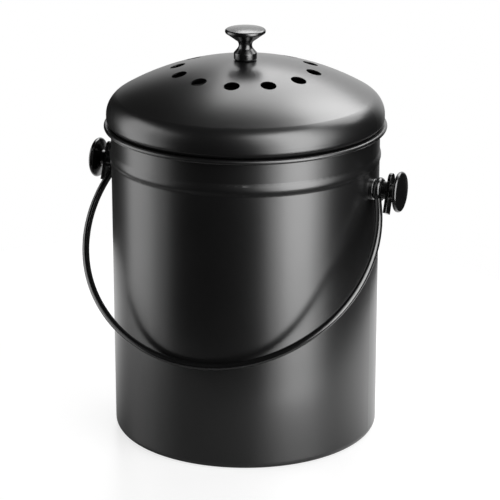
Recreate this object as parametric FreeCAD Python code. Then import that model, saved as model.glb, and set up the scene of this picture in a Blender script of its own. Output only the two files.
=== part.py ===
import FreeCAD, Part
import math
import os

# Countertop compost pail: a steel can with a curled rim, a vented lift-off lid with a charcoal filter,
# and a round-rod bail hung on two knobbed ears. Millimetres, +Z up, origin at the middle of the base.
# The ears lie along X and the bail hangs at the front, -Y.

# Can
can_r = 91.0
can_h = 216.2
sheet_t = 0.8
base_corner_r = 4.5
foot_w = 7.0
base_rise = 1.8
base_slope_w = 5.0
rim_bend_r = 2.0
rim_reach = 4.7
rim_curl_r = 1.5
rim_curl_end_deg = -125.0
bead_below_rim = 21.3
bead_half_h = 4.6
bead_proud = 0.9

# Ears and pivots
ear_below_rim = 37.2
standoff_r = 7.0
standoff_len = 2.6
standoff_edge_r = 0.9
pivot_pin_r = 3.5
running_clearance = 0.08
knob_gap = 0.3
eye_gap = 0.5
seat_clearance = 0.05
screw_r = 2.0
screw_head_r = 3.9
screw_head_h = 2.6
screw_dome_h = 1.1
screw_recess_r = 2.1
screw_recess_h = 1.4
screw_engagement = 9.0
seal_r = 7.0
seal_t = 1.5

# Mushroom knobs, one size for the ears and the lid
knob_rim_r = 13.7
knob_rim_t = 3.0
knob_rim_inset = 1.1
knob_crown_h = 1.0
knob_throat_r = 5.6
ear_neck_r = 5.2
ear_neck_h = 1.9
ear_flare_h = 2.3
lid_knob_collar_r = 7.8
lid_knob_collar_h = 5.5
lid_knob_foot_r = 1.6
lid_knob_edge_r = 0.6
lid_knob_shoulder_w = 2.6
lid_knob_shoulder_h = 2.7
lid_knob_waist_r = 4.5
lid_knob_waist_h = 10.6
lid_knob_throat_h = 13.1
lid_knob_flare_h = 5.1

# Bail
rod_r = 2.4
bail_drop = 42.3
bail_spread = 8.5
bail_bow_deg = 50.0
bail_shank_len = 7.4
bail_wall_gap = 0.3
eye_side_gap = 0.35
spacer_r = 6.0
strap_rod_gap = 0.15
strap_w = 9.6
strap_t = 2.4
strap_edge_r = 0.4
strap_above = 12.0
strap_below = 15.5
strap_trail_deg = 18.0

# Lid
lid_overhang = 3.0
lid_widest_h = 6.5
lid_seat_gap = 0.3
lid_shoulder_r = 15.0
lid_crown_r = 170.0
lid_roll_r = 4.5
lid_flat_r = 9.0
lid_ledge_clearance = 0.4
vent_count = 12
vent_r = 5.3
vent_ring_r = 46.5
vent_phase_deg = 11.0
skirt_clearance = 2.5
skirt_depth = 13.5
skirt_hem_r = 0.9
knob_washer_r = 7.0
knob_washer_t = 1.0

# Filter
holder_clearance = 0.3
holder_wall = 1.6
holder_h = 11.5
holder_lip_t = 1.4
holder_lip_inset = 0.1
holder_floor_t = 2.0
holder_ledge_w = 3.0
grid_rib_w = 3.2
grid_ring_r = 46.0
grid_hub_r = 9.0
grid_spokes = 8
pad_clearance = 1.0
pad_gap = 0.3
pad_t = 10.0
pad_edge_r = 2.5

# One overrun for every cut
overrun = 4.0

V = FreeCAD.Vector
up = V(0, 0, 1)
right = V(1, 0, 0)
back = V(0, 1, 0)

# Heights and distances that follow from the sizes above
mouth_r = can_r - sheet_t
rim_bend = V(mouth_r + rim_bend_r, 0, can_h - rim_bend_r)
rim_curl = V(can_r + rim_reach - rim_curl_r, 0, can_h - rim_curl_r)
bead_z = can_h - bead_below_rim
ear_z = can_h - ear_below_rim
standoff_face = can_r + standoff_len
eye_centre_x = standoff_face + eye_gap + rod_r
bore_r = pivot_pin_r + running_clearance
eye_loop_r = bore_r + rod_r
eye_low = V(eye_centre_x, 0, -eye_loop_r)
bail_side = V(bail_spread, 0, -bail_drop)
bail_side_r = math.sqrt(eye_low.distanceToPoint(bail_side) ** 2 - bail_shank_len ** 2)
bail_bow = math.radians(bail_bow_deg)
bail_bow_r = bail_side_r + bail_spread / math.sin(bail_bow)
bail_len = bail_drop - bail_spread / math.tan(bail_bow) + bail_bow_r
bail_rest_deg = math.degrees(math.asin((can_r + rod_r + bail_wall_gap) / bail_len))
rod_outer_x = bail_spread + math.sqrt((bail_side_r + rod_r) ** 2 - (bail_drop - strap_below) ** 2)
spacer_x = eye_centre_x + rod_r + eye_side_gap
strap_x = rod_outer_x + strap_rod_gap
knob_seat_x = strap_x + strap_t + knob_gap
lid_r = can_r + lid_overhang
lid_roll_x = lid_r - lid_roll_r
lid_roll_lift = math.sqrt((lid_roll_r + lid_seat_gap + rim_bend_r) ** 2 - (rim_bend.x - lid_roll_x) ** 2)
lid_bottom_z = rim_bend.z + lid_roll_lift - lid_roll_r
lid_widest_z = lid_bottom_z + lid_widest_h
lid_shoulder = V(lid_r - lid_shoulder_r, 0, lid_widest_z)
lid_crown_drop = math.sqrt((lid_crown_r - lid_shoulder_r) ** 2 - lid_shoulder.x ** 2)
lid_crown_z = lid_widest_z - lid_crown_drop
lid_top_z = lid_crown_z + math.sqrt(lid_crown_r ** 2 - lid_flat_r ** 2)
skirt_r = mouth_r - skirt_clearance
lid_ledge_r = skirt_r + lid_ledge_clearance
skirt_bottom_z = lid_bottom_z - skirt_depth
skirt_inner_r = skirt_r - sheet_t
skirt_lip_r = skirt_inner_r - skirt_hem_r
holder_r = skirt_lip_r - holder_clearance
holder_inner_r = holder_r - holder_wall
holder_lip_z = skirt_bottom_z - holder_clearance - holder_lip_t
holder_floor_z = holder_lip_z + holder_floor_t


def polar(radius, degrees):
    """Point in the section plane at an angle about the origin."""
    angle = math.radians(degrees)
    return V(radius * math.cos(angle), 0, radius * math.sin(angle))


def arc(centre, radius, start, end):
    """Arc of a section about a centre, from one angle to another, in degrees."""
    middle = (start + end) / 2
    return Part.Arc(*(centre + polar(radius, degrees) for degrees in (start, middle, end)))


def section(*items):
    """Closed face in the XZ plane through points and arcs, with straight runs between them."""
    edges = []
    first = items[0] if isinstance(items[0], V) else items[0].StartPoint
    last = first
    for item in (*items, first):
        start = item if isinstance(item, V) else item.StartPoint
        if not start.isEqual(last, Part.Precision.confusion()):
            edges.append(Part.LineSegment(last, start).toShape())
        last = start
        if not isinstance(item, V):
            edges.append(item.toShape())
            last = item.EndPoint
    return Part.Face(Part.Wire(edges))


def turned(*items):
    """Solid of revolution about the Z axis from a section."""
    return section(*items).revolve(V(), up, 360)


def at_right_ear(shape):
    """A piece turned about Z, with its height as the distance from the can's axis, laid along the ear."""
    placed = shape.rotated(V(), back, 90)
    return placed.translated(up * ear_z)


def bead(radius):
    """Swaged bead in a wall of this radius, from its lower end to its upper end, as three tangent arcs."""
    bend_r = (bead_half_h ** 2 + bead_proud ** 2) / (4 * bead_proud)
    turn = math.degrees(math.asin(bead_half_h / (2 * bend_r)))
    low = V(radius + bend_r, 0, bead_z - bead_half_h)
    crest = V(radius + bead_proud - bend_r, 0, bead_z)
    high = V(radius + bend_r, 0, bead_z + bead_half_h)
    return [arc(low, bend_r, 180, 180 - turn),
            arc(crest, bend_r, -turn, turn),
            arc(high, bend_r, 180 + turn, 180)]


def reversed_path(arcs):
    """The same run of arcs, followed the other way."""
    return [Part.Arc(a.EndPoint, a.value((a.FirstParameter + a.LastParameter) / 2), a.StartPoint)
            for a in reversed(arcs)]


# Can: one drawn sheet with a pressed-up base, a swaged bead and a rim flanged out and curled under
def can_body():
    corner = V(can_r - base_corner_r, 0, base_corner_r)
    foot_r = corner.x - foot_w
    rise_r = foot_r - base_slope_w
    curl_end = rim_curl_end_deg
    shell = turned(V(0, 0, base_rise),
                   V(rise_r, 0, base_rise),
                   V(foot_r, 0, 0),
                   arc(corner, base_corner_r, -90, 0),
                   *bead(can_r),
                   arc(rim_bend, rim_bend_r - sheet_t, 180, 90),
                   arc(rim_curl, rim_curl_r - sheet_t, 90, curl_end),
                   arc(rim_curl, rim_curl_r, curl_end, 90),
                   arc(rim_bend, rim_bend_r, 90, 180),
                   *reversed_path(bead(mouth_r)),
                   arc(corner, base_corner_r - sheet_t, 0, -90),
                   V(foot_r, 0, sheet_t),
                   V(rise_r, 0, base_rise + sheet_t),
                   V(0, 0, base_rise + sheet_t))
    across = can_r + overrun
    screw_holes = Part.makeCylinder(screw_r + seat_clearance, 2 * across, V(-across, 0, ear_z), right)
    return shell.cut(screw_holes)


# Standoff: turned boss between the can wall and the bail's eye, saddle-cut to the wall
def pivot_standoff():
    edge = V(standoff_r - standoff_edge_r, 0, standoff_face - standoff_edge_r)
    start = can_r - standoff_len
    boss = at_right_ear(turned(V(screw_r + seat_clearance, 0, start),
                               V(standoff_r, 0, start),
                               arc(edge, standoff_edge_r, 0, 90),
                               V(screw_r + seat_clearance, 0, standoff_face)))
    return boss.cut(Part.makeCylinder(can_r + seat_clearance, can_h))


# Rubber washer inside the can: fits the wall's curve and gives the screw head a flat seat
def sealing_washer():
    flat_x = mouth_r - seal_t
    ring = at_right_ear(turned(V(screw_r + seat_clearance, 0, flat_x),
                               V(seal_r, 0, flat_x),
                               V(seal_r, 0, can_r),
                               V(screw_r + seat_clearance, 0, can_r)))
    return ring.common(Part.makeCylinder(mouth_r - seat_clearance, can_h))


def pan_head_screw(shank_len):
    """Machine screw along +Z with its head's seat at zero: domed head, round drive recess, plain shank."""
    dome_top = V(0, 0, -screw_head_h - screw_dome_h)
    dome_side = V(screw_head_r, 0, -screw_head_h)
    recess_floor = -screw_head_h - screw_dome_h + screw_recess_h
    chord = screw_head_r ** 2 + screw_dome_h ** 2
    dome_r = chord / (2 * screw_dome_h)
    dome_centre = dome_top + up * dome_r
    lean = math.degrees(math.asin(screw_head_r / dome_r))
    body = turned(arc(dome_centre, dome_r, -90, lean - 90),
                  dome_side,
                  V(screw_head_r, 0, 0),
                  V(screw_r, 0, 0),
                  V(screw_r, 0, shank_len),
                  V(0, 0, shank_len))
    recess = Part.makeCylinder(screw_recess_r, screw_recess_h + overrun, V(0, 0, recess_floor), -up)
    return body.cut(recess)


# Screw from inside the can through seal, wall and standoff into the ear knob
def pivot_screw():
    seat_x = mouth_r - seal_t
    length = standoff_face + screw_engagement - seat_x
    return at_right_ear(pan_head_screw(length).translated(up * seat_x))


def mushroom_head(throat_z, flare_h):
    """Section of a knob's head from its throat to the crown: flared underside, round rim, low crown."""
    rim_low_z = throat_z + flare_h
    rim_r_in = knob_rim_r - knob_rim_inset
    rim_high_z = rim_low_z + knob_rim_t
    top_z = rim_high_z + knob_crown_h
    crown_r = (rim_r_in ** 2 + knob_crown_h ** 2) / (2 * knob_crown_h)
    lean = math.degrees(math.asin(rim_r_in / crown_r))
    rim = Part.Arc(V(rim_r_in, 0, rim_low_z),
                   V(knob_rim_r, 0, (rim_low_z + rim_high_z) / 2),
                   V(rim_r_in, 0, rim_high_z))
    crown = arc(V(0, 0, top_z - crown_r), crown_r, 90 - lean, 90)
    return [V(knob_throat_r, 0, throat_z), rim, crown]


# Ear knob: its spigot is the hinge pin, seats on the standoff and takes the screw
def ear_knob():
    hole_r = screw_r + seat_clearance
    hole_end = standoff_face + screw_engagement + seat_clearance
    return at_right_ear(turned(V(0, 0, hole_end),
                               V(hole_r, 0, hole_end),
                               V(hole_r, 0, standoff_face),
                               V(pivot_pin_r, 0, standoff_face),
                               V(pivot_pin_r, 0, knob_seat_x),
                               V(ear_neck_r, 0, knob_seat_x),
                               *mushroom_head(knob_seat_x + ear_neck_h, ear_flare_h)))


def at_bail_rest(shape):
    """A bail piece modelled hanging straight down from the origin, swung forward and lifted to the ears."""
    swung = shape.rotated(V(), right, -bail_rest_deg)
    return swung.translated(up * ear_z)


# Bail: one round rod bent to a flat bow with tighter sides, its straight shanks running into rolled eyes
def bail_rod():
    to_eye = eye_low - bail_side
    leave = math.degrees(math.atan2(to_eye.z, to_eye.x) - math.atan2(bail_shank_len, bail_side_r))
    bow = arc(V(0, 0, bail_bow_r - bail_len), bail_bow_r, -90, bail_bow_deg - 90)
    side = arc(bail_side, bail_side_r, bail_bow_deg - 90, leave)
    shank = Part.LineSegment(side.EndPoint, eye_low)
    half = [run.toShape() for run in (bow, side, shank)]
    path = Part.Wire(Part.sortEdges([*half, *(run.mirror(V(), right) for run in half)])[0])
    end = path.OrderedVertexes[0].Point
    wire = Part.Wire(Part.Circle(end, path.OrderedEdges[0].tangentAt(0), rod_r).toShape())
    rod = path.makePipeShell([wire], True, False)
    eyes = [Part.makeTorus(eye_loop_r, rod_r, outward * eye_centre_x, outward) for outward in (right, -right)]
    return at_bail_rest(rod.fuse(eyes))


# Spacer: turned ring that holds the strap off the bail's eye
def spacer_washer():
    ring = turned(V(bore_r, 0, spacer_x),
                  V(spacer_r, 0, spacer_x),
                  V(spacer_r, 0, strap_x),
                  V(bore_r, 0, strap_x))
    return at_right_ear(ring)


# Strap: flat bar with a round top, cut square below, trailing behind the rod
def bail_strap():
    half = strap_w / 2
    bend_y = strap_above - half
    corners = [V(-half, bend_y, 0), V(-half, -strap_below, 0), V(half, -strap_below, 0), V(half, bend_y, 0)]
    runs = [Part.LineSegment(a, b).toShape() for a, b in zip(corners, corners[1:])]
    cap = Part.Arc(corners[3], V(0, strap_above, 0), corners[0]).toShape()
    plate = Part.Face(Part.Wire([*runs, cap])).extrude(up * strap_t)
    edges = [e for e in plate.Edges if e.Vertexes[0].Z == e.Vertexes[-1].Z]
    plate = plate.makeFillet(strap_edge_r, edges)
    plate = plate.cut(Part.makeCylinder(bore_r, strap_t + 2 * overrun, -up * overrun))
    upright = plate.rotated(V(), right, 90).rotated(V(), up, 90).translated(right * strap_x)
    trailing = upright.rotated(V(), right, strap_trail_deg)
    return at_bail_rest(trailing)


# Lid: spun dome with a punched ring of vents, its edge rolled under into a flat ledge
def lid_shell():
    roll = V(lid_roll_x, 0, lid_bottom_z + lid_roll_r)
    crown = V(0, 0, lid_crown_z)
    seam_deg = math.degrees(math.atan2(lid_widest_z - lid_crown_z, lid_shoulder.x))
    flat_deg = math.degrees(math.acos(lid_flat_r / lid_crown_r))
    inner_crown_r = lid_crown_r - sheet_t
    inner_flat_deg = math.degrees(math.asin((lid_top_z - sheet_t - lid_crown_z) / inner_crown_r))
    inner_roll_r = lid_roll_r - sheet_t
    dome = turned(V(lid_ledge_r, 0, lid_bottom_z),
                  arc(roll, lid_roll_r, -90, 0),
                  arc(lid_shoulder, lid_shoulder_r, 0, seam_deg),
                  arc(crown, lid_crown_r, seam_deg, flat_deg),
                  V(0, 0, lid_top_z),
                  V(0, 0, lid_top_z - sheet_t),
                  arc(crown, inner_crown_r, inner_flat_deg, seam_deg),
                  arc(lid_shoulder, lid_shoulder_r - sheet_t, seam_deg, 0),
                  arc(roll, inner_roll_r, 0, -90),
                  V(lid_ledge_r, 0, lid_bottom_z + sheet_t))
    lean = math.asin(vent_ring_r / lid_crown_r)
    punch_axis = V(math.sin(lean), 0, math.cos(lean))
    punch = Part.makeCylinder(vent_r, 2 * overrun, crown + punch_axis * (lid_crown_r - overrun), punch_axis)
    vents = [punch.rotated(V(), up, vent_phase_deg + 360 * i / vent_count) for i in range(vent_count)]
    screw_hole = Part.makeCylinder(screw_r + seat_clearance, 2 * overrun, V(0, 0, lid_top_z - overrun), up)
    return dome.cut(Part.makeCompound([*vents, screw_hole]))


# Skirt: rolled ring dropped through the lid's ledge and spot-welded on its flange; it plugs the mouth
def lid_skirt():
    ledge_z = lid_bottom_z + sheet_t
    hem = V(skirt_lip_r, 0, skirt_bottom_z + sheet_t + skirt_hem_r)
    return turned(V(skirt_inner_r, 0, ledge_z + sheet_t),
                  arc(hem, skirt_hem_r, 0, -90),
                  arc(hem, skirt_hem_r + sheet_t, -90, 0),
                  V(skirt_r, 0, ledge_z),
                  V(lid_roll_x, 0, ledge_z),
                  V(lid_roll_x, 0, ledge_z + sheet_t))


# Lid knob: collar, waist and mushroom head, screwed on from inside the dome
def lid_knob():
    hole_r = screw_r + seat_clearance
    hole_end = screw_engagement + seat_clearance
    foot = V(lid_knob_collar_r - lid_knob_foot_r, 0, lid_knob_foot_r)
    edge = V(lid_knob_collar_r - lid_knob_edge_r, 0, lid_knob_collar_h - lid_knob_edge_r)
    shoulder = V(lid_knob_collar_r - lid_knob_shoulder_w, 0, lid_knob_collar_h + lid_knob_shoulder_h)
    waist = Part.Arc(shoulder,
                     V(lid_knob_waist_r, 0, lid_knob_waist_h),
                     V(knob_throat_r, 0, lid_knob_throat_h))
    knob = turned(V(0, 0, hole_end),
                  V(hole_r, 0, hole_end),
                  V(hole_r, 0, 0),
                  arc(foot, lid_knob_foot_r, -90, 0),
                  arc(edge, lid_knob_edge_r, 0, 45),
                  waist,
                  *mushroom_head(lid_knob_throat_h, lid_knob_flare_h))
    return knob.translated(up * lid_top_z)


# Washer and screw under the dome's flat
def lid_knob_washer():
    seat_z = lid_top_z - sheet_t
    return turned(V(screw_r + seat_clearance, 0, seat_z - knob_washer_t),
                  V(knob_washer_r, 0, seat_z - knob_washer_t),
                  V(knob_washer_r, 0, seat_z),
                  V(screw_r + seat_clearance, 0, seat_z))


def lid_knob_screw():
    stack = sheet_t + knob_washer_t
    return pan_head_screw(stack + screw_engagement).translated(up * (lid_top_z - stack))


# Filter holder: moulded ring with a spoked floor, pushed up inside the skirt to its lip
def filter_holder():
    lip_r = skirt_r - holder_lip_inset
    lip_top_z = holder_lip_z + holder_lip_t
    wall_top_z = holder_floor_z + holder_h
    ledge_r = holder_inner_r - holder_ledge_w
    ring = turned(V(ledge_r, 0, holder_lip_z),
                  V(lip_r, 0, holder_lip_z),
                  V(lip_r, 0, lip_top_z),
                  V(holder_r, 0, lip_top_z),
                  V(holder_r, 0, wall_top_z),
                  V(holder_inner_r, 0, wall_top_z),
                  V(holder_inner_r, 0, holder_floor_z),
                  V(ledge_r, 0, holder_floor_z))
    rib_in = grid_ring_r - grid_rib_w / 2
    rib_out = grid_ring_r + grid_rib_w / 2
    middle = turned(V(rib_in, 0, holder_lip_z),
                    V(rib_out, 0, holder_lip_z),
                    V(rib_out, 0, holder_floor_z),
                    V(rib_in, 0, holder_floor_z))
    hub = Part.makeCylinder(grid_hub_r, holder_floor_t, V(0, 0, holder_lip_z))
    spoke = Part.makeBox(holder_inner_r - holder_ledge_w / 2, grid_rib_w, holder_floor_t,
                         V(0, -grid_rib_w / 2, holder_lip_z))
    spokes = [spoke.rotated(V(), up, 360 * i / grid_spokes) for i in range(grid_spokes)]
    return ring.multiFuse([middle, hub, *spokes]).removeSplitter()


# Charcoal felt pad lying on the holder's spokes
def charcoal_filter():
    pad_r = holder_inner_r - pad_clearance
    low_z = holder_floor_z + pad_gap
    low = V(pad_r - pad_edge_r, 0, low_z + pad_edge_r)
    high = V(pad_r - pad_edge_r, 0, low_z + pad_t - pad_edge_r)
    return turned(V(0, 0, low_z),
                  arc(low, pad_edge_r, -90, 0),
                  arc(high, pad_edge_r, 0, 90),
                  V(0, 0, low_z + pad_t))


pieces = {
    "can_body": can_body(),
    "bail_rod": bail_rod(),
    "lid_shell": lid_shell(),
    "lid_skirt": lid_skirt(),
    "lid_knob": lid_knob(),
    "lid_knob_washer": lid_knob_washer(),
    "lid_knob_screw": lid_knob_screw(),
    "filter_holder": filter_holder(),
    "charcoal_filter": charcoal_filter(),
}
for make in (pivot_standoff, sealing_washer, pivot_screw, ear_knob, spacer_washer, bail_strap):
    right_piece = make()
    pieces[make.__name__ + "_right"] = right_piece
    pieces[make.__name__ + "_left"] = right_piece.mirror(V(), right)

os.makedirs("parts", exist_ok=True)
for name, shape in pieces.items():
    shape.exportStep(f"parts/{name}.step")
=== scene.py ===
from math import cos, pi, radians, sin

import bmesh
import bpy
from mathutils import Matrix, Vector, noise


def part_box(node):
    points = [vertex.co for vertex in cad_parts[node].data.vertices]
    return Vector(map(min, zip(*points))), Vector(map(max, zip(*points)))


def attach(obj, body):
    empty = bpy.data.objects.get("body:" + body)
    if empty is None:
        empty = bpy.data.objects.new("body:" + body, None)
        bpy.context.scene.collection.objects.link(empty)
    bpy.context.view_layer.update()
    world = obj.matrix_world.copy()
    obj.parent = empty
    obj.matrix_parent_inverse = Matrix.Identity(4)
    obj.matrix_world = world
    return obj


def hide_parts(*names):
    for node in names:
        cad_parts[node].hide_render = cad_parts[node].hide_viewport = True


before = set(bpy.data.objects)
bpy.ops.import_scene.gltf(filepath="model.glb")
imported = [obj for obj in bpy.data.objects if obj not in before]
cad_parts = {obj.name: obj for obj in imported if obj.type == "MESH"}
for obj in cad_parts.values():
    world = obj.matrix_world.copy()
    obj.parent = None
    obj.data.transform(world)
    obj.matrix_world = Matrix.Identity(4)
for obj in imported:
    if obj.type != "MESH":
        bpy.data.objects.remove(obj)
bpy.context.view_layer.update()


# Can: one steel sheet with a curled rim, a swaged bead under it and a pressed-up base.
# It is powder coated satin black inside and out, and the other pieces are fixed to it or rest on it.
def add_node(tree, kind, inputs=None, **settings):
    """One node of a material, with its settings, and its inputs as values or as sockets to link."""
    made = tree.nodes.new(kind)
    for name, value in settings.items():
        setattr(made, name, value)
    for name, value in (inputs or {}).items():
        if isinstance(value, bpy.types.NodeSocket):
            tree.links.new(value, made.inputs[name])
        else:
            made.inputs[name].default_value = value
    return made


def work_out(tree, operation, *values):
    """The result of one step of arithmetic on sockets and numbers."""
    return add_node(tree, "ShaderNodeMath", dict(enumerate(values)), operation=operation).outputs[0]


def speckle(tree, place, scale, detail, **pattern):
    """The value of a noise at a place."""
    inputs = {"Vector": place, "Scale": scale, "Detail": detail}
    inputs.update({name.capitalize(): value for name, value in pattern.items()})
    return add_node(tree, "ShaderNodeTexNoise", inputs).outputs["Fac"]


def new_group(name, inputs, outputs):
    """An empty shader node group with number inputs and outputs, and its two end nodes."""
    group = bpy.data.node_groups.new(name, "ShaderNodeTree")
    for label, value in inputs.items():
        socket = group.interface.new_socket(label, in_out="INPUT", socket_type="NodeSocketFloat")
        socket.default_value = value
    for label in outputs:
        group.interface.new_socket(label, in_out="OUTPUT", socket_type="NodeSocketFloat")
    return group, group.nodes.new("NodeGroupInput"), group.nodes.new("NodeGroupOutput")


def sprayed_skin_group():
    """Skin of a sprayed coat: slow orange-peel waves, a finer grain on them, and cloudy patches."""
    waves_scale, grain_scale, cloud_scale = 420.0, 1900.0, 22.0
    grain_share = 0.35
    tone_spread, tone_low = 0.5, 0.75
    cloud_middle = 0.5
    group, given, result = new_group("sprayed_skin",
                                     {"Roughness": 0.35, "Spread": 0.05},
                                     ("Height", "Roughness", "Tone"))
    place = add_node(group, "ShaderNodeTexCoord").outputs["Object"]
    waves = speckle(group, place, waves_scale, detail=1.0)
    grain = speckle(group, place, grain_scale, detail=2.0)
    cloud = speckle(group, place, cloud_scale, detail=3.0)
    drift = work_out(group, "SUBTRACT", cloud, cloud_middle)
    height = work_out(group, "MULTIPLY_ADD", grain, grain_share, waves)
    rough = work_out(group, "MULTIPLY_ADD",
                     drift, given.outputs["Spread"], given.outputs["Roughness"])
    tone = work_out(group, "MULTIPLY_ADD", grain, tone_spread, tone_low)
    group.links.new(height, result.inputs["Height"])
    group.links.new(rough, result.inputs["Roughness"])
    group.links.new(tone, result.inputs["Tone"])
    return group


sprayed_skin = sprayed_skin_group()


def new_finish(name):
    """A material with its node tree and its own shader."""
    material = bpy.data.materials.new(name)
    material.use_nodes = True
    return material, material.node_tree, material.node_tree.nodes["Principled BSDF"]


def roughen(tree, shader, height, strength, depth):
    """Turns a height into bumps in the skin."""
    bump = add_node(tree, "ShaderNodeBump",
                    {"Strength": strength, "Distance": depth, "Height": height})
    tree.links.new(bump.outputs["Normal"], shader.inputs["Normal"])


def sprayed_finish(name, colour, roughness, spread, peel):
    """A sprayed and baked coat: nearly black, with the skin's waves in its gloss."""
    peel_depth, gloss_level = 0.0001, 1.0
    material, tree, shader = new_finish(name)
    skin = add_node(tree, "ShaderNodeGroup", node_tree=sprayed_skin)
    skin.inputs["Roughness"].default_value = roughness
    skin.inputs["Spread"].default_value = spread
    tint = add_node(tree, "ShaderNodeVectorMath", {0: colour, "Scale": skin.outputs["Tone"]},
                    operation="SCALE")
    roughen(tree, shader, skin.outputs["Height"], peel, peel_depth)
    tree.links.new(tint.outputs[0], shader.inputs["Base Color"])
    tree.links.new(skin.outputs["Roughness"], shader.inputs["Roughness"])
    shader.inputs["Specular IOR Level"].default_value = gloss_level
    return material


def finish_nodes(material, *nodes):
    """Gives CAD pieces a finish."""
    for node in nodes:
        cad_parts[node].material_slots[0].material = material


black = (0.0025, 0.0025, 0.0026)
powder_coat = sprayed_finish("satin_powder_coat", black, roughness=0.3, spread=0.05, peel=0.05)
finish_nodes(powder_coat, "can_body")


# Pivot fittings: on each side a turned standoff outside the wall, a rubber washer inside that seals
# the screw hole, and a pan-head machine screw, zinc plated, driven from inside through all of them.
enamel = sprayed_finish("gloss_black_enamel", black, roughness=0.2, spread=0.04, peel=0.012)
finish_nodes(enamel, "pivot_standoff_left", "pivot_standoff_right")


def mottle(tree, shader, dark, light, scale, detail, **pattern):
    """Mixes a colour from two tones by a noise, and gives the noise for other uses."""
    place = add_node(tree, "ShaderNodeTexCoord").outputs["Object"]
    spots = speckle(tree, place, scale, detail, **pattern)
    colour = add_node(tree, "ShaderNodeValToRGB", {"Fac": spots})
    colour.color_ramp.elements[0].color = (*dark, 1)
    colour.color_ramp.elements[1].color = (*light, 1)
    tree.links.new(colour.outputs["Color"], shader.inputs["Base Color"])
    return spots


def vary_gloss(tree, shader, spots, smooth, rough):
    """Varies the roughness between two values by a noise."""
    spread = add_node(tree, "ShaderNodeMapRange",
                      {"Value": spots, "To Min": smooth, "To Max": rough})
    tree.links.new(spread.outputs["Result"], shader.inputs["Roughness"])


def rubber_finish():
    """Moulded rubber with a fine matt bloom."""
    material, tree, shader = new_finish("seal_rubber")
    bloom = mottle(tree, shader, dark=(0.016, 0.016, 0.016), light=(0.04, 0.04, 0.041),
                   scale=700.0, detail=3.0)
    roughen(tree, shader, bloom, strength=0.3, depth=0.0001)
    shader.inputs["Roughness"].default_value = 0.72
    return material


finish_nodes(rubber_finish(), "sealing_washer_left", "sealing_washer_right")


def zinc_finish():
    """Bright zinc plate with a fine uneven crystal in its gloss."""
    material, tree, shader = new_finish("zinc_plated_steel")
    crystal = mottle(tree, shader, dark=(0.5, 0.51, 0.53), light=(0.72, 0.73, 0.74),
                     scale=900.0, detail=4.0)
    vary_gloss(tree, shader, crystal, smooth=0.24, rough=0.42)
    shader.inputs["Metallic"].default_value = 1.0
    return material


zinc = zinc_finish()
finish_nodes(zinc, "pivot_screw_left", "pivot_screw_right")


# Ear knobs: turned steel mushroom knobs in black enamel. Each one's spigot is the bail's hinge pin
# and takes the screw from inside the can.
finish_nodes(enamel, "ear_knob_left", "ear_knob_right")


# Bail: one round steel rod bent to an arc with an eye at each end, which turns on the spigots.
# Spacer rings and flat straps beside the eyes turn with it, all in the same enamel.
finish_nodes(enamel, "bail_rod", "spacer_washer_left", "spacer_washer_right",
             "bail_strap_left", "bail_strap_right")


# Lid: a spun steel dome with twelve punched vents and its edge rolled under, and a rolled skirt
# welded on the ledge inside, which plugs the can's mouth. Both have the can's powder coat.
finish_nodes(powder_coat, "lid_shell", "lid_skirt")


# Lid knob: turned steel in enamel like the ear knobs, with a collar and a waist. A zinc plated
# screw and a washer hold it from inside the dome.
finish_nodes(enamel, "lid_knob")
finish_nodes(zinc, "lid_knob_washer", "lid_knob_screw")


# Filter holder: a black plastic moulding, a ring with a spoked floor and a thin lip.
# It is pushed up into the lid's skirt as far as its lip, and stays there by friction.
def holder_finish():
    """Moulded plastic with a fine spark-eroded grain."""
    material, tree, shader = new_finish("holder_plastic")
    grain = mottle(tree, shader, dark=(0.026, 0.026, 0.027), light=(0.042, 0.042, 0.044),
                   scale=1500.0, detail=3.0)
    vary_gloss(tree, shader, grain, smooth=0.42, rough=0.58)
    roughen(tree, shader, grain, strength=0.25, depth=0.00005)
    return material


finish_nodes(holder_finish(), "filter_holder")


# Charcoal filter: a disc cut from thick felt that is filled with charcoal.
# It lies loose on the holder's spokes, and its mesh stands for the CAD solid of the pad.
def felt_finish():
    """Felt: fibres lying every way, in a tone that varies at random, with painted shade in the bump's
    hollows, and a dry sheen.
    """
    material, tree, shader = new_finish("charcoal_felt")
    # One noise sets both the fibre tone and the bump, so the dark tone lies in the hollows as painted
    # shade.
    fibres_and_hollow_shade = mottle(tree, shader, dark=(0.008, 0.008, 0.009), light=(0.075, 0.075, 0.08),
                    scale=650.0, detail=6.0, roughness=0.7, distortion=2.5)
    roughen(tree, shader, fibres_and_hollow_shade, strength=0.8, depth=0.0005)
    shader.inputs["Roughness"].default_value = 0.95
    shader.inputs["Sheen Weight"].default_value = 0.3
    return material


def run_to(outline, tip, x, z):
    """Draws an outline on, straight to a point, and gives its new tip."""
    tip = bmesh.ops.extrude_vert_indiv(outline, verts=[tip])["verts"][0]
    tip.co = (x, 0, z)
    return tip


def bend(outline, tip, x, z, degrees, steps):
    """Draws an outline on, anticlockwise round a centre from the front, and gives its new tip."""
    arc = bmesh.ops.spin(outline, geom=[tip], cent=(x, 0, z), axis=(0, -1, 0),
                         angle=radians(degrees), steps=steps)
    return next(part for part in arc["geom_last"] if isinstance(part, bmesh.types.BMVert))


def add_object(name, shape, material):
    """An object of a finished shape, with its material."""
    mesh = bpy.data.meshes.new(name)
    shape.to_mesh(mesh)
    shape.free()
    mesh.materials.append(material)
    piece = bpy.data.objects.new(name, mesh)
    bpy.context.scene.collection.objects.link(piece)
    return piece


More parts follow.
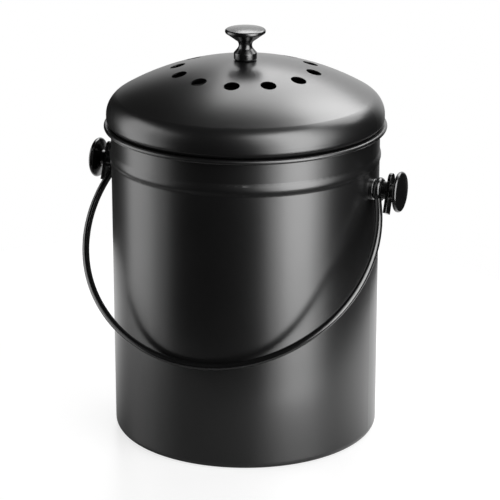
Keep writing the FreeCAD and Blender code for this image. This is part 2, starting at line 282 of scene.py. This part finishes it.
def felt_disc():
    """A disc with soft round edges and an uneven fibrous skin, in the space of its CAD solid."""
    low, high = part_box("charcoal_filter")
    radius, edge = high.x, 0.0024
    rings, sides, edge_steps = 26, 144, 6
    swell, lump_scale, lump_fade, lump_step, lump_octaves = 0.0003, 300, 0.8, 2.0, 3
    weld = 0.00001
    shape = bmesh.new()
    tip = shape.verts.new((0, 0, low.z))
    tip = run_to(shape, tip, radius - edge, low.z)
    tip = bend(shape, tip, radius - edge, low.z + edge, 90, edge_steps)
    tip = run_to(shape, tip, radius, high.z - edge)
    tip = bend(shape, tip, radius - edge, high.z - edge, 90, edge_steps)
    run_to(shape, tip, 0, high.z)
    long_runs = [run for run in shape.edges if run.calc_length() > radius / 2]
    bmesh.ops.subdivide_edges(shape, edges=long_runs, cuts=rings)
    bmesh.ops.spin(shape, geom=shape.verts[:] + shape.edges[:], cent=(0, 0, 0), axis=(0, 0, 1),
                   angle=2 * pi, steps=sides, use_merge=True)
    bmesh.ops.remove_doubles(shape, verts=shape.verts[:], dist=weld)
    bmesh.ops.recalc_face_normals(shape, faces=shape.faces[:])
    shape.normal_update()
    for vert in shape.verts:
        lump = noise.fractal(vert.co * lump_scale, lump_fade, lump_step, lump_octaves)
        vert.co -= vert.normal * swell * (0.5 + 0.5 * lump)
    for face in shape.faces:
        face.smooth = True
    return add_object("filter_felt", shape, felt_finish())


felt = felt_disc()
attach(felt, "filter")
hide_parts("charcoal_filter")


# Studio: six softboxes, a wide dim one with a brighter core to the right and to the left, and two
# above the back. The table is a small round of softly glossy white sheet. Table and room show
# white behind the bin, and in a gloss that faces that side.
camera_azimuth = radians(22)
bin_middle = Vector((0, 0, 0.13))


def from_camera_side(azimuth, elevation):
    """Unit direction from the bin, by degrees right of the camera and degrees above the horizon."""
    turn, rise = camera_azimuth + radians(azimuth), radians(elevation)
    return Vector((sin(turn) * cos(rise), -cos(turn) * cos(rise), sin(rise)))


def place_facing(target, out, distance):
    """Place and turn of a lamp or a camera that looks at a point from a direction."""
    turn = out.to_track_quat("Z", "Y").to_matrix().to_4x4()
    return Matrix.Translation(target + out * distance) @ turn


def softbox(name, azimuth, elevation, distance, width, height, brightness):
    """A flat soft lamp that faces the bin and that the camera doesn't see."""
    lamp = bpy.data.lights.new(name, "AREA")
    lamp.shape = "RECTANGLE"
    lamp.size = width
    lamp.size_y = height
    lamp.energy = brightness * pi * width * height
    box = bpy.data.objects.new(name, lamp)
    bpy.context.scene.collection.objects.link(box)
    box.matrix_world = place_facing(bin_middle, from_camera_side(azimuth, elevation), distance)
    box.visible_camera = False


softbox("key_softbox", azimuth=44, elevation=20, distance=1.3,
        width=1.5, height=2.5, brightness=2.3)
softbox("key_core", azimuth=44, elevation=20, distance=1.28,
        width=0.75, height=2.3, brightness=3.6)
softbox("left_softbox", azimuth=-93, elevation=9, distance=1.3,
        width=1.35, height=1.6, brightness=0.95)
softbox("left_core", azimuth=-98, elevation=9, distance=1.28,
        width=0.75, height=1.5, brightness=1.3)
softbox("back_right_softbox", azimuth=126, elevation=46, distance=1.3,
        width=0.8, height=0.75, brightness=3.3)
softbox("back_softbox", azimuth=161, elevation=50, distance=1.3,
        width=0.9, height=0.85, brightness=3.8)


def in_gloss(tree, path):
    """1 for rays off a gloss or through a clear piece, and 0 for others."""
    return work_out(tree, "MAXIMUM",
                    path.outputs["Is Glossy Ray"], path.outputs["Is Transmission Ray"])


def fade_in(tree, place, direction, low, high):
    """A soft step from 0 to 1 along a direction."""
    along = add_node(tree, "ShaderNodeVectorMath", {0: place, 1: direction},
                     operation="DOT_PRODUCT")
    step = add_node(tree, "ShaderNodeMapRange",
                    {"Value": along.outputs["Value"], "From Min": low, "From Max": high},
                    interpolation_type="SMOOTHSTEP")
    return step.outputs["Result"]


def white_table():
    """A round table top, white to the camera and in what mirrors its back, with a soft shadow."""
    radius, sides, offset = 0.32, 128, 0.1
    centre = from_camera_side(205, 0) * offset
    bright_side, fade_start, fade_end = from_camera_side(155, 0), -0.1, 0.1
    camera_glow = 0.75
    shape = bmesh.new()
    bmesh.ops.create_circle(shape, cap_ends=True, segments=sides, radius=radius,
                            matrix=Matrix.Translation(centre))
    material, tree, shader = new_finish("studio_white")
    shader.inputs["Base Color"].default_value = (0.22, 0.22, 0.22, 1)
    shader.inputs["Roughness"].default_value = 0.3
    shader.inputs["Specular IOR Level"].default_value = 0.7
    shader.inputs["Emission Color"].default_value = (1, 1, 1, 1)
    path = add_node(tree, "ShaderNodeLightPath")
    place = add_node(tree, "ShaderNodeTexCoord").outputs["Object"]
    behind = fade_in(tree, place, bright_side, fade_start, fade_end)
    mirrored = work_out(tree, "MULTIPLY", in_gloss(tree, path), behind)
    lifted = work_out(tree, "MULTIPLY", path.outputs["Is Camera Ray"], camera_glow)
    glow = work_out(tree, "MAXIMUM", lifted, mirrored)
    tree.links.new(glow, shader.inputs["Emission Strength"])
    return add_object("floor", shape, material)


white_table()


def white_room():
    """White where the camera looks past the bin and in reflections of that side, and dim all round."""
    dim, white = 0.01, 1.0
    window_side, window_core, window_edge = from_camera_side(168, 10), radians(14), radians(32)
    world = bpy.data.worlds.new("studio")
    world.use_nodes = True
    tree = world.node_tree
    path = add_node(tree, "ShaderNodeLightPath")
    place = add_node(tree, "ShaderNodeTexCoord").outputs["Generated"]
    window = fade_in(tree, place, window_side, cos(window_edge), cos(window_core))
    mirrored = work_out(tree, "MULTIPLY", in_gloss(tree, path), window)
    shown = work_out(tree, "MAXIMUM", path.outputs["Is Camera Ray"], mirrored)
    level = add_node(tree, "ShaderNodeMapRange", {"Value": shown, "To Min": dim, "To Max": white})
    backdrop = tree.nodes["Background"]
    backdrop.inputs["Color"].default_value = (1, 1, 1, 1)
    tree.links.new(level.outputs["Result"], backdrop.inputs["Strength"])
    bpy.context.scene.world = world


white_room()


# Camera: a long lens to the right of the bin's front and a little above it, as in the photograph.
# Its place comes from a camera fitted to the photograph's rim, base and wall edges.
def photo_camera():
    """The photograph's view."""
    lens, sensor, distance, elevation = 166.2, 36, 1.5885, 18.671
    aim_height, aim_right = 0.12445, 0.00306
    lens_data = bpy.data.cameras.new("camera")
    lens_data.lens = lens
    lens_data.sensor_width = sensor
    camera = bpy.data.objects.new("camera", lens_data)
    bpy.context.scene.collection.objects.link(camera)
    aim = from_camera_side(90, 0) * aim_right + Vector((0, 0, aim_height))
    camera.matrix_world = place_facing(aim, from_camera_side(0, elevation), distance)
    bpy.context.scene.camera = camera


photo_camera()
bpy.context.scene.view_settings.view_transform = "Standard"
